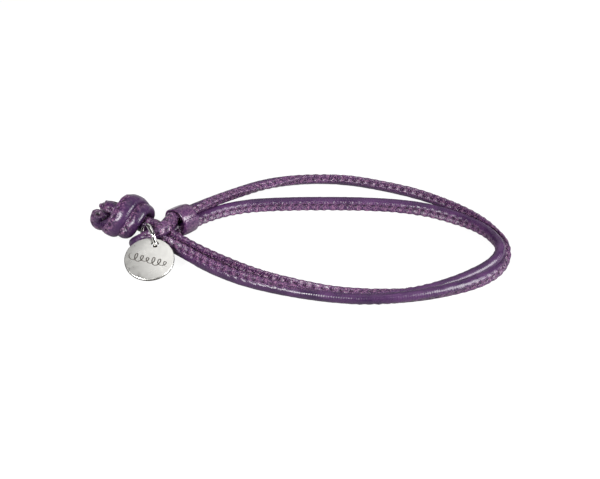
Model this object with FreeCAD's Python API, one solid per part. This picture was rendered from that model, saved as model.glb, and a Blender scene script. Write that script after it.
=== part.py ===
import FreeCAD, Part
import math
import os

V = FreeCAD.Vector

# A double-strand bracelet of round stitched leather cord, lying on a surface.
# One cord makes both strands: each cut end is in the knot, and the middle of
# the cord is the closing loop that the slider holds and the knot passes through.
# +X runs from the knot to the round end, +Y to the far strands, +Z up.

# Driving dimensions, mm.
cordDiameter = 2.7
coreDiameter = 1.5
squeezedDiameter = 2.2
squeezedCore = 1.2
coreRecess = 0.7

sliderLength = 4.8
sliderInnerRadius = 3.02
stripThickness = 0.34
outerTurnAngle = 235.0
channelOffset = 1.4

ringRadius = 3.65
ringWireRadius = 0.55
ringSlit = 0.08

discRadius = 6.0
discThickness = 0.7
discHoleRadius = 0.95
discHoleOffset = 4.3
discEdgeRound = 0.14

# The slider's mouth, and the way that it points.
sliderMouth = V(-30.75, 0.5, 4.65)
sliderAxis = V(-0.66, -0.745, 0.08).normalize()
sliderTilt = V(-0.234, 0.315, 0.92)

# The knot's middle, the way that its cut ends point, and its front and top.
knotCentre = V(-42.3, 0.5, 5.9)
knotAxis = V(-0.9, 0.42, 0.1).normalize()
knotFront = V(0, 0, 1).cross(knotAxis).normalize()
knotTop = knotAxis.cross(knotFront)

# The ring stands round the closing loop, and the disc leans on it through its hole.
ringCentre = V(-36.7, -6.7, 4.22)
ringNormal = V(0.87, 0.49, -0.04).normalize()
discHole = V(-34.91, -9.86, 4.6)
discNormal = V(0, -0.407, 0.914).normalize()
discUp = V(0.26, 0.87, 0.4)


def channel(distance, side):
    """A point inside the slider's bore, from its mouth backwards."""
    return sliderMouth - sliderAxis * distance + sliderTilt * (side * channelOffset)


def inKnot(angle, radius, along):
    """A point round the knot's axis, by angle from its front towards its top."""
    turn = math.radians(angle)
    outward = knotFront * math.cos(turn) + knotTop * math.sin(turn)
    return knotCentre + outward * radius + knotAxis * along


def halfway(first, second):
    return (first + second) * 0.5


# Stretches that meet in the knot do so in the middle of a straight run.
outerEntry = halfway(V(-33.1, -5.8, 3.0), V(-36.8, -2.55, 4.05))
innerEntry = halfway(V(-33.3, -2.05, 4.25), V(-35.9, -1.9, 6.7))
outerExit = halfway(inKnot(530, 1.8, -4.3), inKnot(510, 1.7, -0.8))
innerExit = halfway(inKnot(595, 2.8, -3.6), inKnot(594, 1.9, -0.4))

# The outer strand: out of the slider, round the far side, the round end and the
# near side, then up over the closing loop's lower run and into the knot.
outerRoute = [
    channel(2.4, 1),
    channel(12.3, 1),
    V(-16.4, 17.3, 3.8),
    V(-8.6, 23.8, 2.6),
    V(1.0, 27.3, 1.7),
    V(11.4, 27.75, 1.4),
    V(21.6, 24.5, 1.4),
    V(31.2, 19.9, 1.4),
    V(39.4, 14.0, 1.4),
    V(45.6, 7.2, 1.4),
    V(49.3, -0.4, 1.4),
    V(50.3, -7.8, 1.4),
    V(48.2, -14.4, 1.4),
    V(43.2, -19.4, 1.4),
    V(35.6, -24.0, 1.5),
    V(26.4, -27.5, 1.8),
    V(16.4, -28.75, 1.7),
    V(6.2, -27.15, 1.5),
    V(-4.2, -24.1, 1.4),
    V(-13.6, -20.0, 1.4),
    V(-21.6, -14.6, 1.4),
    V(-26.3, -10.9, 1.8),
    V(-30.1, -7.9, 2.4),
    V(-33.1, -5.8, 3.0),
    outerEntry,
]

# The inner strand: the same way round, lifted on to the outer one at the round end.
innerRoute = [
    channel(2.4, -1),
    channel(12.3, -1),
    V(-14.4, 13.8, 1.5),
    V(-5.6, 15.5, 1.4),
    V(4.2, 15.8, 1.4),
    V(14.0, 15.6, 1.4),
    V(23.8, 14.5, 1.4),
    V(32.4, 12.2, 1.4),
    V(39.4, 8.4, 1.4),
    V(44.4, 3.4, 2.1),
    V(47.4, -2.8, 3.3),
    V(48.8, -9.4, 4.25),
    V(46.8, -14.4, 4.1),
    V(42.4, -17.0, 3.15),
    V(36.4, -19.3, 1.9),
    V(28.6, -23.2, 1.4),
    V(19.0, -25.9, 1.4),
    V(8.6, -25.0, 1.4),
    V(-1.6, -21.8, 1.4),
    V(-11.2, -16.9, 1.4),
    V(-20.0, -10.8, 1.5),
    V(-25.2, -7.4, 2.0),
    V(-28.9, -4.9, 2.6),
    V(-31.6, -3.35, 3.45),
    V(-33.3, -2.05, 4.25),
    innerEntry,
]

# The closing loop: out of the slider, over the neck, down at its own bend and
# back under the neck into the slider again.
loopRoute = [
    channel(2.4, 1),
    channel(-1.2, 1),
    V(-31.8, -2.4, 6.85),
    V(-33.3, -4.9, 6.6),
    V(-35.7, -6.2, 5.8),
    V(-38.1, -6.6, 4.6),
    V(-39.9, -6.2, 3.0),
    V(-40.7, -4.2, 1.6),
    V(-39.4, -1.9, 1.4),
    V(-37.0, -1.9, 1.4),
    V(-34.6, -1.4, 1.4),
    V(-32.6, -0.25, 1.85),
    channel(-0.5, -1),
    channel(2.4, -1),
]

# Each strand in the knot comes out at its left, wraps the others once and
# goes back in at its right.
innerWrap = [
    innerEntry,
    V(-35.9, -1.9, 6.7),
    V(-37.9, -1.8, 7.0),
    inKnot(57, 1.7, -1.5),
    inKnot(58, 1.8, 1.4),
    inKnot(74, 2.4, 3.7),
    inKnot(94, 3.4, 5.0),
    inKnot(118, 4.1, 5.7),
    inKnot(143, 4.3, 6.0),
    inKnot(178, 3.9, 6.0),
    inKnot(218, 3.9, 5.6),
    inKnot(256, 4.2, 5.0),
    inKnot(292, 4.4, 4.2),
    inKnot(328, 4.4, 3.6),
    inKnot(362, 4.3, 2.8),
    inKnot(398, 4.4, 2.1),
    inKnot(434, 4.4, 1.2),
    inKnot(470, 4.2, 0.2),
    inKnot(505, 4.3, -1.1),
    inKnot(540, 4.3, -2.8),
    inKnot(563, 4.7, -3.9),
    inKnot(571, 5.3, -5.1),
    inKnot(577, 4.7, -6.3),
    inKnot(584, 3.3, -6.2),
    inKnot(591, 2.7, -4.9),
    inKnot(595, 2.8, -3.6),
    innerExit,
]
outerWrap = [
    outerEntry,
    V(-36.8, -2.55, 4.05),
    V(-38.3, -1.4, 4.6),
    inKnot(312, 1.4, -3.0),
    inKnot(320, 1.7, -1.2),
    inKnot(313, 1.9, 0.5),
    inKnot(309, 2.7, 1.4),
    inKnot(312, 4.0, 1.5),
    inKnot(322, 4.7, 0.5),
    inKnot(335, 4.3, -0.5),
    inKnot(350, 4.1, -1.1),
    inKnot(365, 3.9, -1.4),
    inKnot(390, 3.9, -2.1),
    inKnot(413, 4.1, -2.7),
    inKnot(436, 4.1, -3.3),
    inKnot(459, 3.9, -4.1),
    inKnot(480, 3.9, -5.2),
    inKnot(499, 3.8, -5.9),
    inKnot(514, 3.7, -6.7),
    inKnot(530, 3.0, -6.5),
    inKnot(537, 2.2, -5.4),
    inKnot(530, 1.8, -4.3),
    outerExit,
]

# The cut ends come out beside each other at the knot's left.
innerEnd = [
    innerExit,
    inKnot(234, 1.9, -0.4),
    inKnot(234, 1.9, 1.6),
    inKnot(246, 1.6, 4.2),
    inKnot(265, 1.7, 6.6),
    inKnot(297, 1.9, 8.0),
    inKnot(330, 2.1, 8.5),
]
outerEnd = [
    outerExit,
    inKnot(150, 1.7, -0.8),
    inKnot(146, 1.8, 2.2),
    inKnot(141, 1.7, 5.2),
    inKnot(122, 2.2, 7.8),
]


def roundedPath(points):
    """Straight runs joined by tangent arcs, each as large as its runs allow."""
    edges = []
    radii = []
    start = points[0]
    for before, corner, after in zip(points, points[1:], points[2:]):
        backward = before - corner
        forward = after - corner
        reach = 0.45 * min(backward.Length, forward.Length)
        halfTurn = (math.pi - backward.getAngle(forward)) / 2
        backward.normalize()
        forward.normalize()
        radius = reach / math.tan(halfTurn)
        inward = (backward + forward).normalize()
        first = corner + backward * reach
        middle = corner + inward * (radius / math.cos(halfTurn) - radius)
        last = corner + forward * reach
        edges.append(Part.LineSegment(start, first).toShape())
        edges.append(Part.Arc(first, middle, last).toShape())
        radii.append(radius)
        start = last
    edges.append(Part.LineSegment(start, points[-1]).toShape())
    return Part.Wire(edges), radii


def roundSection(start, along, diameter):
    return Part.Wire([Part.makeCircle(diameter / 2, start, along)])


def sweep(path, section):
    pipe = Part.BRepOffsetAPI.MakePipeShell(path)
    pipe.add(section)
    pipe.build()
    pipe.makeSolid()
    return pipe.shape()


def export(name, shape):
    """Writes one node and says whether it is a sound solid."""
    if len(shape.Solids) == 1:
        shape = shape.Solids[0]
    shape.exportStep("parts/" + name + ".step")
    print(name, shape.ShapeType, "valid", shape.isValid(), "volume %.2f" % shape.Volume)


def cord(name, points, outer, inner):
    """A round leather cover and the cotton core that fills it."""
    path, radii = roundedPath(points)
    along = points[1] - points[0]
    skin = sweep(path, roundSection(points[0], along, outer))
    core = sweep(path, roundSection(points[0], along, inner))
    expected = path.Length * math.pi * outer ** 2 / 4
    print(name, "length %.1f" % path.Length, "radii", [round(radius, 1) for radius in radii])
    print(name, "tube volume %.1f, section times length %.1f" % (skin.Volume, expected))
    export(name + "_cover", skin.cut(core))
    export(name + "_core", core)


def wrap(name, points):
    """A stretch of cord squeezed in the knot, and its core."""
    path, radii = roundedPath(points)
    along = points[1] - points[0]
    skin = sweep(path, roundSection(points[0], along, squeezedDiameter))
    core = sweep(path, roundSection(points[0], along, squeezedCore))
    print(name, "length %.1f" % path.Length, "radii", [round(radius, 1) for radius in radii])
    export(name + "_cover", skin.cut(core))
    export(name + "_core", core)


def cutEnd(name, points):
    """The last stretch of a strand, its core a little short of the cut cover."""
    path, radii = roundedPath(points)
    along = points[1] - points[0]
    skin = sweep(path, roundSection(points[0], along, squeezedDiameter))
    bore = sweep(path, roundSection(points[0], along, squeezedCore))
    plug = Part.makeCylinder(squeezedCore, coreRecess, points[-1], points[-2] - points[-1])
    print(name, "length %.1f" % path.Length, "radii", [round(radius, 1) for radius in radii])
    export(name + "_cover", skin.cut(bore))
    export(name + "_core", bore.cut(plug))


def tubeAlong(start, axis, length, outer, inner):
    return Part.makeCylinder(outer, length, start, axis).cut(Part.makeCylinder(inner, length, start, axis))


def slider():
    """A leather strip wound twice part of the way round, so its end is a ledge."""
    start = sliderMouth - sliderAxis * sliderLength
    joint = sliderInnerRadius + stripThickness
    innerTurn = tubeAlong(start, sliderAxis, sliderLength, joint, sliderInnerRadius)
    outerTurn = Part.makeCylinder(joint + stripThickness, sliderLength, start, sliderAxis, outerTurnAngle)
    hole = Part.makeCylinder(joint - 0.05, sliderLength, start, sliderAxis)
    band = innerTurn.fuse(outerTurn.cut(hole)).removeSplitter()
    return band


def jumpRing():
    """A round wire ring whose ends meet at a fine slit on its far side."""
    ring = Part.makeTorus(ringRadius, ringWireRadius, ringCentre, ringNormal)
    outward = (ringCentre - discHole).normalize()
    outward = (outward - ringNormal * outward.dot(ringNormal)).normalize()
    side = ringNormal.cross(outward)
    corner = ringCentre + outward * (ringRadius - 1.0) - side * (ringSlit / 2) - ringNormal
    blade = Part.makePolygon([
        corner,
        corner + side * ringSlit,
        corner + side * ringSlit + outward * 2.0,
        corner + outward * 2.0,
        corner,
    ])
    return ring.cut(Part.Face(blade).extrude(ringNormal * 2.0))


def disc():
    """A plain round tag with a hole near its upper edge."""
    toHole = (discUp - discNormal * discUp.dot(discNormal)).normalize()
    middle = discHole - toHole * discHoleOffset
    back = middle - discNormal * (discThickness / 2)
    plate = Part.makeCylinder(discRadius, discThickness, back, discNormal)
    rims = [edge for edge in plate.Edges if abs(edge.Length - 2 * math.pi * discRadius) < 0.01]
    plate = plate.makeFillet(discEdgeRound, rims)
    hole = Part.makeCylinder(discHoleRadius, 3, discHole - discNormal * 1.5, discNormal)
    return plate.cut(hole)


os.makedirs("parts", exist_ok=True)
cord("outer_strand", outerRoute, cordDiameter, coreDiameter)
cord("inner_strand", innerRoute, cordDiameter, coreDiameter)
cord("closing_loop", loopRoute, cordDiameter, coreDiameter)
wrap("outer_wrap", outerWrap)
wrap("inner_wrap", innerWrap)
cutEnd("outer_end", outerEnd)
cutEnd("inner_end", innerEnd)
export("slider", slider())
export("jump_ring", jumpRing())
export("disc", disc())
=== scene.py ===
import bpy
import bmesh
import math
from mathutils import Matrix, Vector, noise


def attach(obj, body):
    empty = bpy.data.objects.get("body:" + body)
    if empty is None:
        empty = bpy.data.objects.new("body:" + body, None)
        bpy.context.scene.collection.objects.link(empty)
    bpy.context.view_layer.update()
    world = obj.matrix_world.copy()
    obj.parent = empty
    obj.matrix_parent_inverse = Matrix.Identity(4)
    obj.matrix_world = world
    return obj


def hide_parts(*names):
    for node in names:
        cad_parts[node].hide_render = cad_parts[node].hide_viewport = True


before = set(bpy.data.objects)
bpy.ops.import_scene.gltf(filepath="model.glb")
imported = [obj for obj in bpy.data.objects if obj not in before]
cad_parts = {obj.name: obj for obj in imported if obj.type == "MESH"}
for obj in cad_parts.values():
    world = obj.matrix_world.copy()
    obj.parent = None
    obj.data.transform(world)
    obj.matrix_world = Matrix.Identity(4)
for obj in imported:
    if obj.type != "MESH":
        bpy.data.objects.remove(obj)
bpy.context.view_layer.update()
mm = 0.001
up = Vector((0, 0, 1))
white = (1, 1, 1, 1)

# the camera looks down on the bracelet from beyond its near strands
view = {"elevation": 32.0, "distance": 0.372, "lens": 90.0, "sensor": 36.0, "nearest": 0.01}
tilt = math.radians(view["elevation"])
camData = bpy.data.cameras.new("camera")
camData.lens = view["lens"]
camData.sensor_width = view["sensor"]
camData.clip_start = view["nearest"]
camera = bpy.data.objects.new("camera", camData)
camera.location = (0, -view["distance"] * math.cos(tilt), view["distance"] * math.sin(tilt))
camera.rotation_euler = (math.pi / 2 - tilt, 0, 0)
bpy.context.collection.objects.link(camera)
bpy.context.scene.camera = camera
print("camera set")


def startMaterial(name, settings):
    material = bpy.data.materials.new(name)
    material.use_nodes = True
    shader = material.node_tree.nodes["Principled BSDF"]
    for socket, value in settings.items():
        shader.inputs[socket].default_value = value
    return material, material.node_tree, shader


def addNode(tree, kind, settings=None, inputs=None):
    node = tree.nodes.new(kind)
    for field, value in (settings or {}).items():
        setattr(node, field, value)
    for socket, value in (inputs or {}).items():
        if isinstance(value, bpy.types.NodeSocket):
            tree.links.new(value, node.inputs[socket])
        else:
            node.inputs[socket].default_value = value
    return node


def mixColours(tree, share, first, second):
    return addNode(tree, "ShaderNodeMix", {"data_type": "RGBA"}, {0: share, 6: first, 7: second}).outputs[2]


def spread(tree, value, low, high, start=0.0, end=1.0):  # low to high becomes start to end, and no further
    return addNode(tree, "ShaderNodeMapRange", {}, {0: value, 1: low, 2: high, 3: start, 4: end}).outputs[0]


def reckon(tree, operation, first, second=0.0):
    return addNode(tree, "ShaderNodeMath", {"operation": operation}, {0: first, 1: second}).outputs[0]


def addBump(tree, shader, height, strength, depth):
    bump = addNode(tree, "ShaderNodeBump", {}, {"Height": height, "Strength": strength, "Distance": depth})
    tree.links.new(bump.outputs[0], shader.inputs["Normal"])


# the dyed leather of the cord and the slider, with a lighter tone that stands for rubbed wear and painted
# glints;
# a range of two is a tone's low and high end, and one of four also gives what they become
leather = {
    "deep": (0.017, 0.003, 0.029, 1), "mid": (0.044, 0.01, 0.058, 1), "rubbedAndGlint": (0.26, 0.12, 0.213, 1),
    "cloudScale": 2.2, "fineScale": 26.0, "cloudRange": (0.35, 0.68),
}


def leatherGrain(tree, where, scale):  # cloudy tone, fine fibres and pebbled grain, each from 0 to 1
    cloudScale, fineScale = leather["cloudScale"] * scale, leather["fineScale"] * scale
    cloud = addNode(tree, "ShaderNodeTexNoise", {}, {"Vector": where, "Scale": cloudScale, "Detail": 4.0})
    fine = addNode(tree, "ShaderNodeTexNoise", {}, {"Vector": where, "Scale": fineScale, "Detail": 6.0})
    grain = addNode(tree, "ShaderNodeTexVoronoi", {}, {"Vector": where, "Scale": fineScale})
    return cloud.outputs["Fac"], fine.outputs["Fac"], grain.outputs["Distance"]


def dyedColour(tree, cloud):
    return mixColours(tree, spread(tree, cloud, *leather["cloudRange"]), leather["deep"], leather["mid"])


# the slider's mouth and the knot's middle, each with its own axes, in millimetres
sliderMouth = Vector((-30.75, 0.5, 4.65))
sliderAxis = Vector((-0.66, -0.745, 0.08)).normalized()
sliderTilt = Vector((-0.234, 0.315, 0.92))
strandApart = 1.4  # from the slider's axis to each strand's middle
knotCentre = Vector((-42.3, 1.7, 5.2))
knotAxis = Vector((-0.9, 0.42, 0.1)).normalized()
knotFront = up.cross(knotAxis).normalized()
knotTop = knotAxis.cross(knotFront)


def inSlider(depth, side):
    return sliderMouth - sliderAxis * depth + sliderTilt * (side * strandApart)


def inKnot(angle, radius, along):
    turn = math.radians(angle)
    return knotCentre + (knotFront * math.cos(turn) + knotTop * math.sin(turn)) * radius + knotAxis * along


# each stretch of the cord: its points and, by a point's number, the way that the seam faces and the cord's
# width, thickness, roll and fin height; a stretch with no "seam" has it outwards from the knot's axis
outerStrand = {
    "points": [
        inSlider(2.4, 1), inSlider(12.3, 0.8), (-16.4, 17.1, 3.4), (-8.6, 23.6, 2.55), (1.0, 27.3, 1.7),
        (11.4, 27.55, 1.4), (21.6, 24.15, 1.4), (31.1, 19.6, 1.4), (39.2, 13.7, 1.4), (45.3, 6.9, 1.5),
        (48.9, -0.5, 1.6), (49.7, -7.9, 1.5), (47.8, -14.6, 1.4), (43.2, -19.8, 1.5), (35.6, -24.2, 1.6),
        (26.4, -27.6, 1.8), (16.4, -28.8, 1.55), (6.2, -27.4, 1.35), (-4.2, -24.4, 1.25),
        (-13.6, -20.5, 1.35), (-21.6, -15.0, 1.5), (-26.3, -10.8, 1.9), (-30.1, -7.9, 2.4),
        (-33.1, -5.8, 3.0), (-35.0, -4.2, 3.5)],
    "seam": {
        0: (0.3, -0.9, 0.2), 1: (0.2, -0.85, 0.45), 2: (0, -0.88, 0.47), 3: (0, -1.0, 0),
        4: (0, -0.6, 0.8), 5: (0, -0.3, 0.95), 7: (0, -0.26, 0.97), 8: (-0.1, -0.4, 0.9),
        9: (0, -0.55, 0.83), 10: (0.2, -0.75, 0.6), 11: (0.5, -0.8, 0.2), 12: (0.5, -0.75, -0.45),
        13: (0.3, -0.6, -0.7), 14: (0.1, -0.25, -0.97), 15: (0, 0.1, -1.0), 16: (0, 0.4, -0.94),
        17: (0, 1.0, -0.17), 18: (0, 0.6, 0.8), 19: (0, 0.41, 0.91), 20: (0, 0.41, 0.91),
        22: (0, 0.2, 0.98), 24: (0, -0.3, 0.95)},
    "size": {0: (2.75, 2.75, 0, 0.75), 2: (2.75, 2.75, 0, 0.75), 4: (2.55, 2.55, 0, 0.75),
             18: (2.55, 2.55, 0, 0.75), 20: (2.8, 2.8, 0, 0.8)},
}
innerStrand = {
    "points": [
        inSlider(2.4, -1), inSlider(12.3, -0.95), (-14.4, 14.1, 1.7), (-5.6, 15.3, 1.65), (4.2, 15.5, 1.7),
        (14.0, 15.4, 1.7), (23.8, 14.6, 1.7), (32.4, 12.4, 1.7), (39.4, 8.4, 1.7), (44.4, 3.4, 2.1),
        (47.4, -2.8, 3.0), (48.8, -9.4, 3.6), (46.8, -14.5, 3.25), (42.4, -17.9, 2.35), (36.4, -21.2, 1.6),
        (28.6, -24.7, 1.2), (19.0, -26.7, 1.18), (8.6, -25.5, 1.2), (-1.6, -22.0, 1.3), (-11.2, -17.1, 1.35),
        (-20.0, -11.0, 1.45), (-25.2, -7.5, 1.9), (-28.9, -4.9, 2.6), (-31.6, -3.3, 3.4), (-33.3, -2.1, 4.1),
        (-34.6, -1.6, 4.8)],
    "seam": {
        0: (0.3, -0.8, -0.5), 2: (0, -0.75, -0.66), 3: (0, -0.66, -0.75), 6: (0, -0.6, -0.8),
        7: (-0.1, -0.75, -0.66), 8: (-0.4, -0.7, -0.6), 9: (-0.75, -0.4, -0.55), 10: (-0.6, -0.2, -0.8),
        11: (-0.5, 0.2, -0.85), 12: (-0.4, 0.5, -0.75), 13: (-0.3, 0.6, -0.7), 14: (-0.2, 0.8, -0.55),
        15: (0, 0.97, -0.2), 16: (0, 0.75, 0.65), 17: (0, 0.1, 1.0), 18: (0, -0.1, 1.0),
        19: (0, -0.4, 0.92), 20: (0, -0.47, 0.88), 25: (0, -0.4, 0.9)},
    "size": {0: (2.6, 2.6, 0, 0.75), 3: (2.65, 2.6, 0, 1.1), 8: (2.65, 2.6, 0, 1.0), 10: (2.5, 2.5, 0, 0.4),
             12: (2.55, 2.5, 0, 0.3), 14: (2.5, 2.45, 0, 0.3), 17: (2.4, 2.35, 0, 0.5),
             19: (2.55, 2.55, 0, 0.75), 21: (2.8, 2.8, 0, 0.8)},
}
closingLoop = {
    "points": [
        inSlider(2.4, 1), inSlider(-0.6, 0.9), (-32.3, -2.6, 5.95), (-33.6, -5.1, 5.85), (-35.8, -6.05, 5.35),
        (-38.2, -6.45, 4.55), (-40.0, -6.35, 3.05), (-40.85, -4.25, 1.6), (-39.4, -1.9, 1.4),
        (-37.0, -1.9, 1.4), (-34.6, -1.4, 1.4), (-32.6, -0.25, 1.85), inSlider(-0.5, -1), inSlider(2.4, -1)],
    "seam": {
        0: (0.3, -0.9, -0.2), 1: (0.6, -0.5, 0.6), 3: (0.5, -0.2, 0.8), 4: (0.5, -0.1, 1.0),
        6: (1.0, 0.4, 0.2), 9: (0.3, 0.2, -1.0), 13: (0.3, -0.9, -0.2)},
    "size": {0: (2.55, 2.55, 0, 0.5), 1: (3.4, 2.6, 0, 0.3), 3: (3.5, 2.4, 0, 0.25), 4: (3.2, 2.3, 0, 0.3),
             5: (2.5, 2.25, 0, 0.25), 6: (2.65, 2.45, 0, 0.45), 8: (2.55, 2.55, 0, 0.6)},
}
innerWrap = {
    "points": [
        inKnot(106, 0.7, -6.4), inKnot(132, 0.5, -4.4), inKnot(70, 0.4, -2.1), inKnot(46, 1.4, 0.0),
        inKnot(54, 2.1, 2.1), inKnot(62, 2.6, 4.1), inKnot(68, 1.8, 6.0), inKnot(177, 0.8, 7.2),
        inKnot(232, 2.5, 7.1), inKnot(264, 3.2, 6.1), inKnot(297, 4.0, 5.0), inKnot(322, 4.8, 3.3),
        inKnot(342, 5.2, 1.7), inKnot(8, 5.1, 0.7), inKnot(35, 4.7, 0.2), inKnot(67, 4.7, -0.1),
        inKnot(101, 5.0, 0.0), inKnot(136, 5.1, -0.1), inKnot(166, 5.6, -0.6), inKnot(188, 5.8, -1.6),
        inKnot(202, 5.1, -2.8), inKnot(214, 3.4, -3.3), inKnot(227, 1.9, -1.9), inKnot(269, 0.8, 0.5)],
    "size": {0: (2.6, 2.5, 60, 0.4), 4: (2.7, 2.4, 70, 0.4), 10: (3.4, 2.4, 72, 0.4),
             12: (4.1, 2.4, 72, 0.35), 16: (4.2, 2.4, 72, 0.35), 21: (3.4, 2.4, 70, 0.4)},
}
outerWrap = {
    "points": [
        inKnot(343, 1.6, -6.9), inKnot(311, 0.9, -4.7), inKnot(280, 1.1, -2.5), inKnot(307, 1.4, -0.6),
        inKnot(328, 2.3, 0.7), inKnot(336, 3.8, 0.8), inKnot(340, 4.6, -0.4), inKnot(348, 4.6, -1.7),
        inKnot(5, 4.0, -2.6), inKnot(32, 3.6, -3.1), inKnot(70, 3.4, -3.3), inKnot(109, 3.5, -3.3),
        inKnot(149, 4.0, -3.3), inKnot(178, 4.2, -3.3), inKnot(195, 3.6, -3.0), inKnot(189, 2.4, -1.5),
        inKnot(169, 1.8, 0.7)],
    "size": {0: (2.6, 2.5, -50, 0.4), 4: (3.0, 2.5, -58, 0.4), 7: (3.9, 2.4, -58, 0.4),
             11: (3.6, 2.4, -58, 0.4), 14: (3.2, 2.5, -58, 0.4)},
}
innerEnd = {
    "points": [
        inKnot(341, 1.5, 2.8), inKnot(336, 3.2, 4.1), inKnot(337, 4.4, 5.3), inKnot(344, 4.7, 6.35),
        inKnot(2, 4.6, 6.7), inKnot(22, 5.3, 5.85)],
    "size": {0: (2.6, 2.5, 60, 0.3), 5: (2.8, 2.7, 60, 0.15)},
}
outerEnd = {
    "points": [inKnot(149, 1.4, 3.4), inKnot(147, 1.2, 5.4), inKnot(157, 0.9, 7.0)],
    "size": {0: (3.1, 3.0, -50, 0.2)},
}
# from one cut end to the other, with True for a stretch that is followed backwards
cordOrder = [
    (innerEnd, True), (innerWrap, True), (innerStrand, True), (closingLoop, True), (outerStrand, False),
    (outerWrap, False), (outerEnd, False)]

# millimetres along and out of the cord, radians round it from the seam's fin
cordLook = {
    "step": 0.27, "around": 36, "crowding": 1.4, "sameSpot": 0.4, "easeWay": 5, "easeSize": 6, "floor": 0.03,
    "stitchPitch": 2.2, "slant": 0.35, "finSpread": 0.3, "finPinch": 0.15, "finNotch": 0.17,
    "notchDrift": 0.11, "groove": 0.1, "grooveSpread": 0.06, "holeDepth": 0.32, "holeAway": 0.62,
    "holeSpread": 0.2, "pucker": 0.16, "puckerAway": 1.05, "puckerSpread": 0.35, "lumps": 0.05,
    "lumpScale": 0.9, "patternLength": 10.0, "patternTurn": 0.8,
}
# the cord's finish: stitch holes in painted shade, the leather near them rubbed and with painted glints, a
# sunken core partly in painted shade, and how dull and uneven it is
nappa = {
    "hole": (0.022, 0.003, 0.022, 1), "cut": (0.045, 0.016, 0.045, 1), "core": (0.012, 0.004, 0.014, 1),
    "holeAlong": 0.2, "holeAround": 0.26, "holeEdge": (1.05, 0.5), "gatherAlong": (0.9, 1.6),
    "gatherAround": (1.3, 0.8), "gatherFine": (0.43, 0.6), "wearAndGlintRange": (0.05, 1.0, 0.0, 0.45),
    "nearSeam": (1.75, 1.0, 0.12, 1.0), "paintedSparkle": (0.47, 0.66, 0.0, 0.4), "dull": (0.3, 0.7, 0.29, 0.43),
    "holeDull": 0.5, "ripples": 24.0, "rippleHeight": 0.12, "fineHeight": 1.5, "coreRange": (0.3, 0.5),
    "cutRange": (0.6, 0.9), "bump": 0.8, "bumpDepth": 0.00011,
}
# a cut end's tone in the "seam" attribute, with 0 for the cord's skin, and its rings from the rim inwards,
# each with its share of the section's size, its depth and what shows there
endTone = {"core": 0.5, "cut": 1.0}
cutEnd = [
    (0.86, -0.1, "cut"), (0.5, 0.0, "cut"), (0.47, 0.7, "core"), (0.2, 0.595, "core"), (0.0, 0.56, "core")]


def makeNappa():  # the cord's leather: stitch holes in painted shade, rubbed gathers with painted glints between them, and raw cut ends with a core partly in painted shade
    material, tree, shader = startMaterial("nappa_leather", {
        "Roughness": 0.34, "Specular IOR Level": 0.43, "Sheen Weight": 0.02, "Sheen Roughness": 0.5,
        "Sheen Tint": (0.8, 0.6, 0.85, 1), "Coat Weight": 0.17, "Coat Roughness": 0.21})
    where = addNode(tree, "ShaderNodeTexCoord").outputs["UV"]
    cloud, fine, grain = leatherGrain(tree, where, 1.0)
    seam = addNode(tree, "ShaderNodeAttribute", {"attribute_name": "seam"}).outputs["Vector"]
    along, away, tone = addNode(tree, "ShaderNodeSeparateXYZ", {}, {0: seam}).outputs
    slanted = reckon(tree, "ADD", along, reckon(tree, "MULTIPLY", away, cordLook["slant"]))
    fromHole = reckon(tree, "ABSOLUTE", reckon(tree, "SUBTRACT", reckon(tree, "FRACT", slanted), 0.5))
    lengthwise = reckon(tree, "DIVIDE", fromHole, nappa["holeAlong"])
    fromRow = reckon(tree, "SUBTRACT", away, cordLook["holeAway"])
    crosswise = reckon(tree, "DIVIDE", fromRow, nappa["holeAround"])
    offset = addNode(tree, "ShaderNodeCombineXYZ", {}, {0: lengthwise, 1: crosswise}).outputs[0]
    reach = addNode(tree, "ShaderNodeVectorMath", {"operation": "LENGTH"}, {0: offset}).outputs["Value"]
    hole = spread(tree, reach, *nappa["holeEdge"])
    near = spread(tree, away, *nappa["nearSeam"])
    gather = reckon(tree, "MULTIPLY", spread(tree, lengthwise, *nappa["gatherAlong"]),
                    spread(tree, away, *nappa["gatherAround"]))
    # rubbed tone on the gathers between holes: partly wear, partly a painted highlight where the gathers
    # catch the light
    wearAndGlint = reckon(tree, "MULTIPLY", gather, spread(tree, fine, *nappa["gatherFine"]))
    # painted sparkle: light specks near the seam stand for glints on the crinkled grain
    paintedSparkle = reckon(tree, "MULTIPLY", spread(tree, fine, *nappa["paintedSparkle"]), near)
    colour = dyedColour(tree, cloud)
    colour = mixColours(tree, paintedSparkle, colour, leather["rubbedAndGlint"])
    colour = mixColours(tree, spread(tree, wearAndGlint, *nappa["wearAndGlintRange"]), colour, leather["rubbedAndGlint"])
    # painted shade: the stitch holes are coloured nearly black
    colour = mixColours(tree, hole, colour, nappa["hole"])
    # the sunken core is nearly black: its own dark tone with painted shade of the hollow
    colour = mixColours(tree, spread(tree, tone, *nappa["coreRange"]), colour, nappa["core"])
    colour = mixColours(tree, spread(tree, tone, *nappa["cutRange"]), colour, nappa["cut"])
    tree.links.new(colour, shader.inputs["Base Color"])
    dull = spread(tree, cloud, *nappa["dull"])
    dull = reckon(tree, "ADD", dull, reckon(tree, "MULTIPLY", hole, nappa["holeDull"]))
    tree.links.new(dull, shader.inputs["Roughness"])
    ripple = reckon(tree, "SINE", reckon(tree, "MULTIPLY", along, nappa["ripples"]))
    ripple = reckon(tree, "MULTIPLY", ripple, nappa["rippleHeight"])
    pebbles = reckon(tree, "ADD", grain, reckon(tree, "MULTIPLY", fine, nappa["fineHeight"]))
    skin = reckon(tree, "ADD", reckon(tree, "MULTIPLY", pebbles, near), ripple)
    addBump(tree, shader, reckon(tree, "SUBTRACT", skin, hole), nappa["bump"], nappa["bumpDepth"])
    return material


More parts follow.
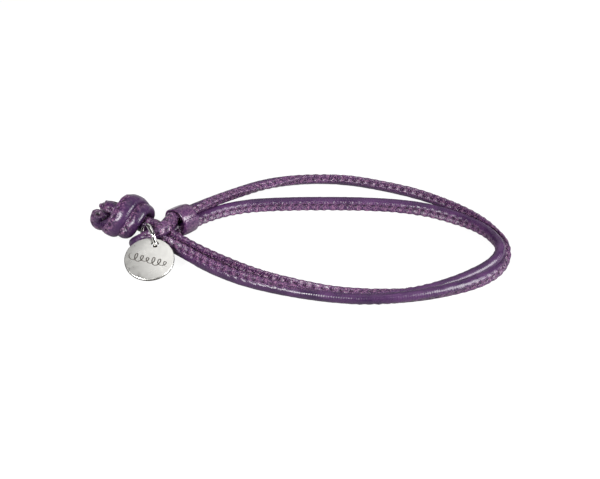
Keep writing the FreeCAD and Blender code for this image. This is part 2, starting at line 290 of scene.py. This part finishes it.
def smoothRoute(points):  # the points as a spline's control points, read back as a fine line
    curve = bpy.data.curves.new("cord_route", "CURVE")
    curve.dimensions = "3D"
    spline = curve.splines.new("NURBS")
    spline.points.add(len(points) - 1)
    for corner, point in zip(spline.points, points):
        corner.co = (*(Vector(point) * mm), 1.0)
    spline.order_u = 3
    spline.use_endpoint_u = True
    spline.resolution_u = 24
    curveObject = bpy.data.objects.new("cord_route", curve)
    bpy.context.collection.objects.link(curveObject)
    line = bpy.data.meshes.new_from_object(curveObject.evaluated_get(bpy.context.evaluated_depsgraph_get()))
    places = [vertex.co.copy() for vertex in line.vertices]
    bpy.data.objects.remove(curveObject)
    bpy.data.meshes.remove(line)
    return places


def evenly(places, step):  # equal steps along a fine line, each with its share of the line's number of places
    lengths = [0.0]
    for here, there in zip(places, places[1:]):
        lengths.append(lengths[-1] + (there - here).length)
    count = round(lengths[-1] / step)
    result, shares, k = [], [], 0
    for i in range(count + 1):
        goal = lengths[-1] * i / count
        while k < len(places) - 2 and lengths[k + 1] < goal:
            k += 1
        gap = lengths[k + 1] - lengths[k]
        part = (goal - lengths[k]) / gap if gap else 0.0
        result.append(places[k].lerp(places[k + 1], part))
        shares.append((k + part) / (len(places) - 1))
    return result, shares, lengths[-1]


def pointIndex(share, count):  # where along the list of control points a share of the spline lies
    place = share * (count - 2)
    if place < 0.5:
        return place * 2
    if place > count - 2.5:
        return count - 1 - (count - 2 - place) * 2
    return place + 0.5


def between(keys, index):  # a value from a sorted list of (index, value) keys
    for (before, low), (after, high) in zip(keys, keys[1:]):
        if index <= after:
            return low.lerp(high, max(0.0, (index - before) / (after - before)))
    return keys[-1][1]


def averaged(values, reach):
    result = []
    for i in range(len(values)):
        near = values[max(0, i - reach):i + reach + 1]
        result.append(sum(near[1:], near[0]) / len(near))
    return result


def squareTo(way, axis):  # the part of a direction that is square to an axis, one long
    return (way - axis * way.dot(axis)).normalized()


def layCord():  # one list of control points from cut end to cut end, with the seam's way and the size at each
    points, facing, sizes = [], [], []
    for stretch, backwards in cordOrder:
        spots = [Vector(point) for point in stretch["points"]]
        sizeKeys = [(index, Vector(size)) for index, size in sorted(stretch["size"].items())]
        spans = [between(sizeKeys, index) for index in range(len(spots))]
        ways = [None] * len(spots)
        if "seam" in stretch:
            wayKeys = [(index, Vector(way).normalized()) for index, way in sorted(stretch["seam"].items())]
            ways = [between(wayKeys, index) for index in range(len(spots))]
        rows = list(zip(spots, ways, spans))
        if backwards:
            rows.reverse()
        for spot, way, span in rows:
            if points and (spot - points[-1]).length < cordLook["sameSpot"]:
                continue
            points.append(spot)
            facing.append(way)
            sizes.append(span)
    return points, facing, sizes


def cordFrames():  # the cord's line with its direction, the seam's way and the size at every step
    points, facing, sizes = layCord()
    line, shares, length = evenly(smoothRoute(points), cordLook["step"] * mm)
    count, last = len(points), len(line) - 1
    tangents = [(line[min(i + 1, last)] - line[max(i - 1, 0)]).normalized() for i in range(len(line))]
    ways, spans = [], []
    for place, tangent, share in zip(line, tangents, shares):
        index = pointIndex(share, count)
        low = min(int(index), count - 2)
        part = index - low
        outward = squareTo(place / mm - knotCentre, knotAxis)
        way = (facing[low] or outward).lerp(facing[low + 1] or outward, part)
        ways.append(squareTo(way, tangent))
        spans.append(sizes[low].lerp(sizes[low + 1], part))
    ways = [squareTo(way, tangent) for way, tangent in zip(averaged(ways, cordLook["easeWay"]), tangents)]
    return line, tangents, ways, averaged(spans, cordLook["easeSize"]), length


def bell(offset, width):  # 1 at no offset, and falling away on both sides
    return math.exp(-(offset / width) ** 2)


def sectionPoint(i, away, place, tangent, way, span):
    # a point of the cord's skin, by its step along the cord and its angle away from the seam's fin
    look = cordLook
    side = tangent.cross(way)
    wide, thick, roll, fin = span[0] / 2, span[1] / 2, math.radians(span[2]), span[3]
    phase = 2 * math.pi * (i * look["step"] / look["stitchPitch"] + abs(away) * look["slant"])
    bead = 0.5 + 0.5 * math.cos(phase)  # 1 midway between two stitch holes and 0 at a hole
    angle = away + roll
    outward = (way * math.cos(angle) / thick + side * math.sin(angle) / wide).normalized()
    base = way * math.cos(angle) * thick + side * math.sin(angle) * wide
    notch = look["finNotch"] * (1 + noise.noise(Vector((i * look["notchDrift"], 0, 0)))) * (1 - bead)
    rise = fin * bell(away, look["finSpread"] * (1 - look["finPinch"] * (1 - bead))) * (1 - notch)
    rise -= look["groove"] * bell(away, look["grooveSpread"])
    rise -= look["holeDepth"] * bell(abs(away) - look["holeAway"], look["holeSpread"]) * (1 - bead) ** 2
    rise += look["pucker"] * bell(abs(away) - look["puckerAway"], look["puckerSpread"]) * (bead - 0.5)
    rise += look["lumps"] * noise.noise(place / mm * look["lumpScale"] + outward * 2.0)
    point = place + (base + outward * rise) * mm
    point.z = max(point.z, look["floor"] * mm)  # the seam is pressed flat where the cord lies on it
    return point, outward


def endFace(vertices, faces, tags, first, place, tangent, outwards):  # a cut end, as rings and a middle point
    around, farAway = cordLook["around"], 3.0
    rim = vertices[first:first + around]
    previous = first
    for share, depth, shown in cutEnd:
        start = len(vertices)
        for corner in rim if share else [place]:
            vertices.append(place + (corner - place) * share - tangent * (outwards * depth * mm))
            tags.append((0.0, farAway, endTone[shown]))
        for here in range(around):
            there = (here + 1) % around
            face = (previous + here, previous + there, start + there, start + here)
            if not share:
                face = (previous + here, previous + there, start)
            faces.append(face if outwards > 0 else face[::-1])
        previous = start


def makeCordMesh(line, tangents, ways, spans):  # rings of skin points along the cord, and its two cut ends
    look = cordLook
    around = look["around"]
    shares = [k / around * 2 - 1 for k in range(around)]
    turns = [math.pi * math.copysign(abs(share) ** look["crowding"], share) for share in shares]
    vertices, tags, faces = [], [], []
    for i, row in enumerate(zip(line, tangents, ways, spans)):
        for away in turns:
            vertices.append(sectionPoint(i, away, *row)[0])
            tags.append((i * look["step"] / look["stitchPitch"], abs(away), 0.0))
    for i in range(len(line) - 1):
        for k in range(around):
            here, there = i * around + k, i * around + (k + 1) % around
            faces.append((here, there, there + around, here + around))
    sideFaces = len(faces)
    endFace(vertices, faces, tags, (len(line) - 1) * around, line[-1], tangents[-1], 1)
    endFace(vertices, faces, tags, 0, line[0], tangents[0], -1)
    mesh = bpy.data.meshes.new("stitched_cord")
    mesh.from_pydata(vertices, [], faces)
    uvMap = mesh.uv_layers.new(name="UVMap")
    for polygon in mesh.polygons[:sideFaces]:
        i, k = divmod(polygon.index, around)
        corners = ((i, k), (i, k + 1), (i + 1, k + 1), (i + 1, k))
        for loop, (row, column) in zip(polygon.loop_indices, corners):
            turned = column / around * look["patternTurn"]
            uvMap.data[loop].uv = (row * look["step"] / look["patternLength"], turned)
    seam = mesh.attributes.new("seam", "FLOAT_VECTOR", "POINT")
    for item, tag in zip(seam.data, tags):
        item.vector = tag
    mesh.validate()
    mesh.shade_smooth()
    return mesh


# the sewing thread's stitches: sizes in millimetres, "away" in radians from the seam's fin, "sink" into the
# leather, no stitch on the last "bareSteps" of the cord, and the thread's two tones
stitchLook = {
    "length": 0.95, "thickness": 0.22, "away": 0.3, "slope": 0.4, "variety": 0.15, "seed": 7, "sink": 0.03,
    "bareSteps": 8, "dark": (0.05, 0.014, 0.06, 1), "light": (0.2, 0.08, 0.2, 1), "twist": 4000.0,
    "twistRange": (0.35, 0.65),
}


def makeThread():  # dyed thread with a fine twist in its tone
    material, tree, shader = startMaterial("sewing_thread", {
        "Roughness": 0.6, "Specular IOR Level": 0.35, "Sheen Weight": 0.3, "Sheen Roughness": 0.4})
    where = addNode(tree, "ShaderNodeTexCoord").outputs["Object"]
    strands = {"Vector": where, "Scale": stitchLook["twist"], "Detail": 2.0}
    twist = addNode(tree, "ShaderNodeTexNoise", {}, strands).outputs["Fac"]
    share = spread(tree, twist, *stitchLook["twistRange"])
    colour = mixColours(tree, share, stitchLook["dark"], stitchLook["light"])
    tree.links.new(colour, shader.inputs["Base Color"])
    return material


def stitchTree():  # an oval stitch at every point, laid as its "turn" says, each a little different in size
    tree = bpy.data.node_groups.new("lay_stitches", "GeometryNodeTree")
    face = tree.interface
    face.new_socket(name="Geometry", in_out="INPUT", socket_type="NodeSocketGeometry")
    face.new_socket(name="Geometry", in_out="OUTPUT", socket_type="NodeSocketGeometry")
    kinds = {
        "Stitch Length": "NodeSocketFloat", "Thread Thickness": "NodeSocketFloat",
        "Variety": "NodeSocketFloat", "Seed": "NodeSocketInt", "Thread": "NodeSocketMaterial"}
    sockets = {name: face.new_socket(name=name, in_out="INPUT", socket_type=kinds[name]) for name in kinds}
    given = tree.nodes.new("NodeGroupInput").outputs
    result = tree.nodes.new("NodeGroupOutput")
    thick = given["Thread Thickness"]
    size = addNode(tree, "ShaderNodeCombineXYZ", {}, {0: given["Stitch Length"], 1: thick, 2: thick})
    oval = addNode(tree, "GeometryNodeMeshUVSphere", {}, {"Segments": 8, "Rings": 6, "Radius": 0.5})
    turn = addNode(tree, "GeometryNodeInputNamedAttribute", {"data_type": "FLOAT_VECTOR"}, {"Name": "turn"})
    rotation = addNode(tree, "FunctionNodeEulerToRotation", {}, {0: turn.outputs[0]})
    least = reckon(tree, "SUBTRACT", 1.0, given["Variety"])
    most = reckon(tree, "ADD", 1.0, given["Variety"])
    vary = addNode(tree, "FunctionNodeRandomValue", {"data_type": "FLOAT"}, {
        2: least, 3: most, "Seed": given["Seed"]})
    scale = addNode(tree, "ShaderNodeVectorMath", {"operation": "SCALE"}, {
        0: size.outputs[0], "Scale": vary.outputs[1]})
    laid = addNode(tree, "GeometryNodeInstanceOnPoints", {}, {
        "Points": given["Geometry"], "Instance": oval.outputs["Mesh"], "Rotation": rotation.outputs[0],
        "Scale": scale.outputs[0]})
    whole = addNode(tree, "GeometryNodeRealizeInstances", {}, {0: laid.outputs[0]})
    dyed = addNode(tree, "GeometryNodeSetMaterial", {}, {
        "Geometry": whole.outputs[0], "Material": given["Thread"]})
    tree.links.new(dyed.outputs[0], result.inputs[0])
    return tree, {name: socket.identifier for name, socket in sockets.items()}


def layStitches(line, tangents, ways, spans):  # each stitch's place and turn, a pair slanting over every hole
    look = stitchLook
    places, turns = [], []
    step = cordLook["stitchPitch"] / cordLook["step"]
    for n in range(1, int((len(line) - look["bareSteps"]) / step)):
        i = round((n + 0.5 - look["away"] * cordLook["slant"]) * step)
        for sign in (-1, 1):
            place, outward = sectionPoint(i, sign * look["away"], line[i], tangents[i], ways[i], spans[i])
            place.z = max(place.z, look["thickness"] * 2 * mm)
            cross = outward.cross(tangents[i]).normalized() * sign
            along = (cross + tangents[i] * look["slope"]).normalized()
            basis = Matrix((along, outward.cross(along), outward)).transposed()
            places.append(place - outward * (look["sink"] * mm))
            turns.append(basis.to_euler())
    return places, turns


def makeStitches(line, tangents, ways, spans):  # the whole seam's sewing, as one mesh
    places, turns = layStitches(line, tangents, ways, spans)
    mesh = bpy.data.meshes.new("stitch_points")
    mesh.from_pydata(places, [], [])
    turn = mesh.attributes.new("turn", "FLOAT_VECTOR", "POINT")
    for item, value in zip(turn.data, turns):
        item.vector = value
    seedObject = bpy.data.objects.new("stitch_points", mesh)
    bpy.context.collection.objects.link(seedObject)
    tree, keys = stitchTree()
    modifier = seedObject.modifiers.new("stitches", "NODES")
    modifier.node_group = tree
    modifier[keys["Stitch Length"]] = stitchLook["length"] * mm
    modifier[keys["Thread Thickness"]] = stitchLook["thickness"] * mm
    modifier[keys["Variety"]] = stitchLook["variety"]
    modifier[keys["Seed"]] = stitchLook["seed"]
    modifier[keys["Thread"]] = sewingThread
    sewn = bpy.data.meshes.new_from_object(seedObject.evaluated_get(bpy.context.evaluated_depsgraph_get()))
    bpy.data.objects.remove(seedObject)
    bpy.data.meshes.remove(mesh)
    stitches = bpy.data.objects.new("seam_stitches", sewn)
    bpy.context.collection.objects.link(stitches)
    sewn.shade_smooth()
    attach(stitches, "cord")
    print("stitches", len(places), "faces", len(sewn.polygons))
    return stitches


def makeCord():  # one length of cord from cut end to cut end, with its stitches
    line, tangents, ways, spans, length = cordFrames()
    cord = bpy.data.objects.new("stitched_cord", makeCordMesh(line, tangents, ways, spans))
    bpy.context.collection.objects.link(cord)
    cord.data.materials.append(nappaLeather)
    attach(cord, "cord")
    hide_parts(*[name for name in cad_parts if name.endswith("_cover") or name.endswith("_core")])
    stitches = makeStitches(line, tangents, ways, spans)
    print("cord length %.0f mm, %d faces" % (length / mm, len(cord.data.polygons)))


def addPiece(name, mesh, material, body, nodes=()):  # a mesh as a piece that rides on a body
    mesh.materials.clear()
    mesh.materials.append(material)
    piece = bpy.data.objects.new(name, mesh)
    bpy.context.collection.objects.link(piece)
    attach(piece, body)
    if nodes:
        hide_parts(*nodes)
    print(name, "faces", len(mesh.polygons))


def loftMesh(name, rows):  # a skin through equal rings of points, capped at both ends
    count = len(rows[0])
    vertices = [point * mm for row in rows for point in row]
    faces = []
    for i in range(len(rows) - 1):
        for k in range(count):
            here, there = i * count + k, i * count + (k + 1) % count
            faces.append((here, there, there + count, here + count))
    faces.append(tuple(reversed(range(count))))
    faces.append(tuple(range((len(rows) - 1) * count, len(rows) * count)))
    mesh = bpy.data.meshes.new(name)
    mesh.from_pydata(vertices, [], faces)
    work = bmesh.new()
    work.from_mesh(mesh)
    bmesh.ops.recalc_face_normals(work, faces=work.faces)
    work.to_mesh(mesh)
    work.free()
    mesh.shade_smooth()
    return mesh


def circle(centre, first, second, radius, steps):  # points round a centre, from one way towards the other
    turns = [2 * math.pi * k / steps for k in range(steps)]
    return [centre + (first * math.cos(turn) + second * math.sin(turn)) * radius for turn in turns]


# "turns" is the strip's whole winding and "ramp" how soon its outer end climbs on the turn below, in degrees
sliderLook = {
    "length": 4.8, "inner": 2.86, "thickness": 0.45, "bulge": 0.14, "turns": 595, "start": 40, "ramp": 26,
    "steps": 150, "edgeSteps": 8, "flatSteps": 6, "wave": 0.03, "waveTurn": 40,
    "grainScale": 100.0, "wearAndGlintRange": (0.42, 0.72, 0.0, 0.5), "bump": 0.35, "bumpDepth": 0.00006,
}


def makeSliderLeather():  # the same dyed leather, smoother and a little shinier
    material, tree, shader = startMaterial("slider_leather", {
        "Roughness": 0.32, "Specular IOR Level": 0.5, "Coat Weight": 0.3, "Coat Roughness": 0.18})
    where = addNode(tree, "ShaderNodeTexCoord").outputs["Object"]
    cloud, fine, grain = leatherGrain(tree, where, sliderLook["grainScale"])
    # lighter patches at random: rubbed wear and a painted sheen that brightens the slider
    wearAndGlint = spread(tree, fine, *sliderLook["wearAndGlintRange"])
    colour = mixColours(tree, wearAndGlint, dyedColour(tree, cloud), leather["rubbedAndGlint"])
    tree.links.new(colour, shader.inputs["Base Color"])
    addBump(tree, shader, reckon(tree, "ADD", grain, fine), sliderLook["bump"], sliderLook["bumpDepth"])
    return material


def stripOutline(half, thin):  # the strip's section with round edges: places along the slider and out of it
    look = sliderLook
    outline = []
    for end in (1, -1):
        for k in range(look["edgeSteps"] + 1):
            turn = math.pi * (k / look["edgeSteps"] - end / 2)
            outline.append((end * (half - thin) + thin * math.cos(turn), thin * math.sin(turn)))
        for k in range(1, look["flatSteps"]):
            outline.append((end * (half - thin) * (1 - 2 * k / look["flatSteps"]), end * thin))
    return outline


def makeSlider():  # a leather strip wound round the strands, its outer end lying on the turn below
    look = sliderLook
    side = sliderAxis.cross(sliderTilt).normalized()
    top = side.cross(sliderAxis)
    half, thin = look["length"] / 2, look["thickness"] / 2
    rows = []
    for n in range(look["steps"] + 1):
        spun = look["turns"] * n / look["steps"]
        layer = min(1.0, max(0.0, (spun - 360 + look["ramp"]) / look["ramp"]))
        radius = look["inner"] + thin + look["thickness"] * (layer * layer * (3 - 2 * layer))
        angle = math.radians(look["start"] + spun)
        outward = top * math.cos(angle) + side * math.sin(angle)
        row = []
        for along, out in stripOutline(half, thin):
            bulge = look["bulge"] * (1 - (along / half) ** 2)
            wave = look["wave"] * noise.noise(Vector((along, spun / look["waveTurn"], 0.0)))
            row.append(sliderMouth - sliderAxis * (half - along) + outward * (radius + out + bulge + wave))
        rows.append(row)
    mesh = loftMesh("leather_slider", rows)
    addPiece("leather_slider", mesh, sliderLeather, "slider", ["slider"])


# a metal's roughness varies by "hazeShare" of itself; brushed metal has hairlines drawn along X
metalLook = {
    "hazeScale": 900.0, "hazeRange": (0.3, 0.7), "hazeShare": (0.8, 1.3), "hairs": (300.0, 9000.0, 9000.0),
    "bump": 0.08, "bumpDepth": 0.00002,
}


def makeMetal(name, colour, roughness, brushed=False):  # metal with an uneven polish
    look = metalLook
    material, tree, shader = startMaterial(name, {
        "Base Color": colour, "Metallic": 1.0, "Roughness": roughness})
    where = addNode(tree, "ShaderNodeTexCoord").outputs["Object"]
    cloudy = {"Vector": where, "Scale": look["hazeScale"], "Detail": 3.0}
    haze = addNode(tree, "ShaderNodeTexNoise", {}, cloudy).outputs["Fac"]
    least, most = [roughness * share for share in look["hazeShare"]]
    tree.links.new(spread(tree, haze, *look["hazeRange"], least, most), shader.inputs["Roughness"])
    if brushed:
        lines = addNode(tree, "ShaderNodeMapping", {}, {"Vector": where, "Scale": look["hairs"]}).outputs[0]
        drawn = {"Vector": lines, "Scale": 1.0, "Detail": 2.0}
        hair = addNode(tree, "ShaderNodeTexNoise", {}, drawn).outputs["Fac"]
        addBump(tree, shader, hair, look["bump"], look["bumpDepth"])
    return material


# in the ring "wire" is the wire's radius; "slit" is the width of the cut, which lies across from the tag
ringLook = {
    "centre": (-36.7, -6.7, 4.22), "normal": (0.87, 0.49, -0.04), "radius": 3.65, "wire": 0.55, "slit": 0.08,
    "steps": 120, "around": 24,
}
discLook = {
    "hole": (-34.91, -9.86, 4.6), "normal": (0, -0.407, 0.914), "up": (0.26, 0.87, 0.4), "radius": 6.0,
    "thickness": 0.7, "holeRadius": 0.95, "holeOffset": 4.3, "edge": 0.2, "edgeSteps": 4, "steps": 96,
    "holeSteps": 40, "sharpFrom": 35, "sideSlope": 0.6,
}


def makeRing():  # a round wire bent into a ring, its two ends almost meeting
    look = ringLook
    centre, normal = Vector(look["centre"]), Vector(look["normal"]).normalized()
    outward = squareTo(centre - Vector(discLook["hole"]), normal)
    side = normal.cross(outward)
    gap = look["slit"] / 2 / look["radius"]
    rows = []
    for n in range(look["steps"] + 1):
        turn = gap + (2 * math.pi - 2 * gap) * n / look["steps"]
        spoke = outward * math.cos(turn) + side * math.sin(turn)
        rows.append(circle(centre + spoke * look["radius"], spoke, -normal, look["wire"], look["around"]))
    mesh = loftMesh("open_jump_ring", rows)
    addPiece("open_jump_ring", mesh, polishedSilver, "ring", ["jump_ring"])


def discFrame():  # the tag's middle, and its ways to the right, up its face and out of its face
    look = discLook
    normal = Vector(look["normal"]).normalized()
    rise = squareTo(Vector(look["up"]), normal)
    return Vector(look["hole"]) - rise * look["holeOffset"], rise.cross(normal), rise, normal


def cutAway(mesh, tool):  # a mesh with the tool's shape taken out of it
    pieces = [bpy.data.objects.new(data.name, data) for data in (mesh, tool)]
    for piece in pieces:
        bpy.context.collection.objects.link(piece)
    modifier = pieces[0].modifiers.new("hole", "BOOLEAN")
    modifier.object = pieces[1]
    modifier.operation = "DIFFERENCE"
    modifier.solver = "EXACT"
    result = bpy.data.meshes.new_from_object(pieces[0].evaluated_get(bpy.context.evaluated_depsgraph_get()))
    for piece in pieces:
        bpy.data.objects.remove(piece)
    bpy.data.meshes.remove(mesh)
    bpy.data.meshes.remove(tool)
    return result


def makeDisc():  # a flat tag with rounded edges and a hole
    look = discLook
    middle, right, rise, normal = discFrame()
    half, edge = look["thickness"] / 2, look["edge"]
    profile = []
    for k in range(look["edgeSteps"] + 1):
        turn = math.pi / 2 * (1 - k / look["edgeSteps"])
        profile.append((look["radius"] - edge + edge * math.cos(turn), half - edge + edge * math.sin(turn)))
    profile += [(radius, -height) for radius, height in reversed(profile)]
    rims = [circle(middle + normal * height, right, rise, radius, look["steps"])
            for radius, height in profile]
    hole = Vector(look["hole"])
    bore = [circle(hole + normal * height, right, rise, look["holeRadius"], look["holeSteps"])
            for height in (half * 2, -half * 2)]
    mesh = cutAway(loftMesh("plate", rims), loftMesh("drill", bore))
    mesh.name = "round_tag"
    mesh.shade_smooth()
    mesh.set_sharp_from_angle(angle=math.radians(look["sharpFrom"]))
    addPiece("round_tag", mesh, satinSilver, "disc", ["disc"])
    # the side faces get a dark metal, a painted dark reflection
    mesh.materials.append(paintedDarkEdge)
    for polygon in mesh.polygons:
        if polygon.area > 0 and abs(polygon.normal.dot(normal)) < look["sideSlope"]:
            polygon.material_index = 1


# "low" is the lowest loop's share of the height, "thin" the share of the line's width that a stroke across
# keeps, and "tip" that at its two ends, which grows by "tipGrowth" for each share of the scroll
scrollLook = {
    "wide": 9.4, "high": 1.1, "low": 0.55, "crest": 0.35, "loops": 6.5, "sway": 0.62, "drop": 0.4,
    "line": 0.14, "thin": 0.6, "tip": 0.3, "tipGrowth": 12, "proud": 0.03, "steps": 260, "around": 8,
}


def makeScroll():  # a plain looping scroll engraved across the tag
    look = scrollLook
    middle, right, rise, normal = discFrame()
    nudge = 0.001

    def place(share):
        swing = 2 * math.pi * look["loops"] * share
        swell = math.cos(math.pi * (2 * share - look["crest"])) ** 2
        x = look["wide"] * (share - 0.5) - look["sway"] * math.sin(swing)
        y = look["high"] * (look["low"] + (1 - look["low"]) * swell) * math.cos(swing) - look["drop"]
        return middle + right * x + rise * y + normal * (discLook["thickness"] / 2)

    rows = []
    for n in range(look["steps"] + 1):
        share = n / look["steps"]
        forward = (place(share + nudge) - place(share - nudge)).normalized()
        pressed = look["thin"] + (1 - look["thin"]) * abs(forward.dot(rise))
        ending = min(1.0, look["tip"] + look["tipGrowth"] * min(share, 1 - share))
        across = normal.cross(forward) * (look["line"] * pressed * ending)
        rows.append(circle(place(share), across, normal * look["proud"], 1.0, look["around"]))
    addPiece("engraved_scroll", loftMesh("engraved_scroll", rows), engravedMetal, "disc")


nappaLeather = makeNappa()
sliderLeather = makeSliderLeather()
sewingThread = makeThread()
polishedSilver = makeMetal("polished_silver", (0.86, 0.85, 0.82, 1), 0.1)
satinSilver = makeMetal("satin_silver", (0.74, 0.73, 0.7, 1), 0.32, brushed=True)
# dark metal for the tag's side: a painted dark reflection
paintedDarkEdge = makeMetal("edge_painted_dark_reflection", (0.11, 0.1, 0.09, 1), 0.3)
engravedMetal = makeMetal("engraved_metal", (0.12, 0.11, 0.1, 1), 0.5)
print("materials made")
makeCord()
makeSlider()
makeRing()
makeDisc()
makeScroll()


# "glowFrom" and "glowFull" are where the paper's glow behind the bracelet starts and is full;
# each lamp has its place, size and power
stageLook = {
    "reach": 3.0, "seenGlow": 0.93, "seenPaper": 0.09, "paper": 0.4, "sky": 0.06, "backGlow": 1.4,
    "glowFrom": 0.03, "glowFull": 0.15,
}
lampLook = {
    "frontLeft": ((-0.22, -0.27, 0.23), (0.1, 0.1), 2.4),
    "right": ((0.36, -0.16, 0.2), (0.34, 0.25), 3.9),
    "behind": ((0.08, 0.42, 0.3), (0.7, 0.2), 0.35),
    "overhead": ((0.05, 0.06, 0.5), (0.4, 0.3), 0.5),
}


def areaLight(name, place, size, power):  # a rectangular lamp aimed at the bracelet's middle
    data = bpy.data.lights.new(name, "AREA")
    data.shape = "RECTANGLE"
    data.size, data.size_y = size
    data.energy = power
    lamp = bpy.data.objects.new(name, data)
    lamp.location = place
    lamp.rotation_euler = (-Vector(place)).to_track_quat("-Z", "Y").to_euler()
    bpy.context.collection.objects.link(lamp)


def grey(tone):
    return (tone, tone, tone, 1)


def makePaper():  # looks evenly white to the camera, keeps a faint shadow and lights the bracelet from behind
    look = stageLook
    material, tree, shader = startMaterial("white_paper", {
        "Base Color": grey(look["paper"]), "Roughness": 0.9, "Specular IOR Level": 0.0})
    rays = addNode(tree, "ShaderNodeLightPath")
    dim = addNode(tree, "ShaderNodeBsdfDiffuse", {}, {"Color": grey(look["seenPaper"])})
    glow = addNode(tree, "ShaderNodeEmission", {}, {"Color": white, "Strength": look["seenGlow"]})
    seen = addNode(tree, "ShaderNodeAddShader", {}, {0: dim.outputs[0], 1: glow.outputs[0]})
    where = addNode(tree, "ShaderNodeTexCoord").outputs["Object"]
    place = addNode(tree, "ShaderNodeSeparateXYZ", {}, {0: where})
    back = spread(tree, place.outputs[1], look["glowFrom"], look["glowFull"], 0.0, look["backGlow"])
    sweep = addNode(tree, "ShaderNodeEmission", {}, {"Color": white, "Strength": back})
    lit = addNode(tree, "ShaderNodeAddShader", {}, {0: shader.outputs[0], 1: sweep.outputs[0]})
    both = addNode(tree, "ShaderNodeMixShader", {}, {
        0: rays.outputs["Is Camera Ray"], 1: lit.outputs[0], 2: seen.outputs[0]})
    tree.links.new(both.outputs[0], tree.nodes["Material Output"].inputs["Surface"])
    return material


def makeStage():  # the paper, a faint light from all round, and the lamps
    far = stageLook["reach"]
    mesh = bpy.data.meshes.new("floor")
    mesh.from_pydata([(-far, -far, 0), (far, -far, 0), (far, far, 0), (-far, far, 0)], [], [(0, 1, 2, 3)])
    mesh.materials.append(makePaper())
    floor = bpy.data.objects.new("floor", mesh)
    bpy.context.collection.objects.link(floor)
    world = bpy.data.worlds.new("studio")
    world.use_nodes = True
    background = world.node_tree.nodes["Background"]
    background.inputs["Color"].default_value = white
    background.inputs["Strength"].default_value = stageLook["sky"]
    bpy.context.scene.world = world
    for name, (place, size, power) in lampLook.items():
        areaLight(name, place, size, power)
    print("stage set with", len(lampLook), "lamps")


makeStage()
bpy.context.scene.view_settings.view_transform = "Standard"
bpy.context.view_layer.update()
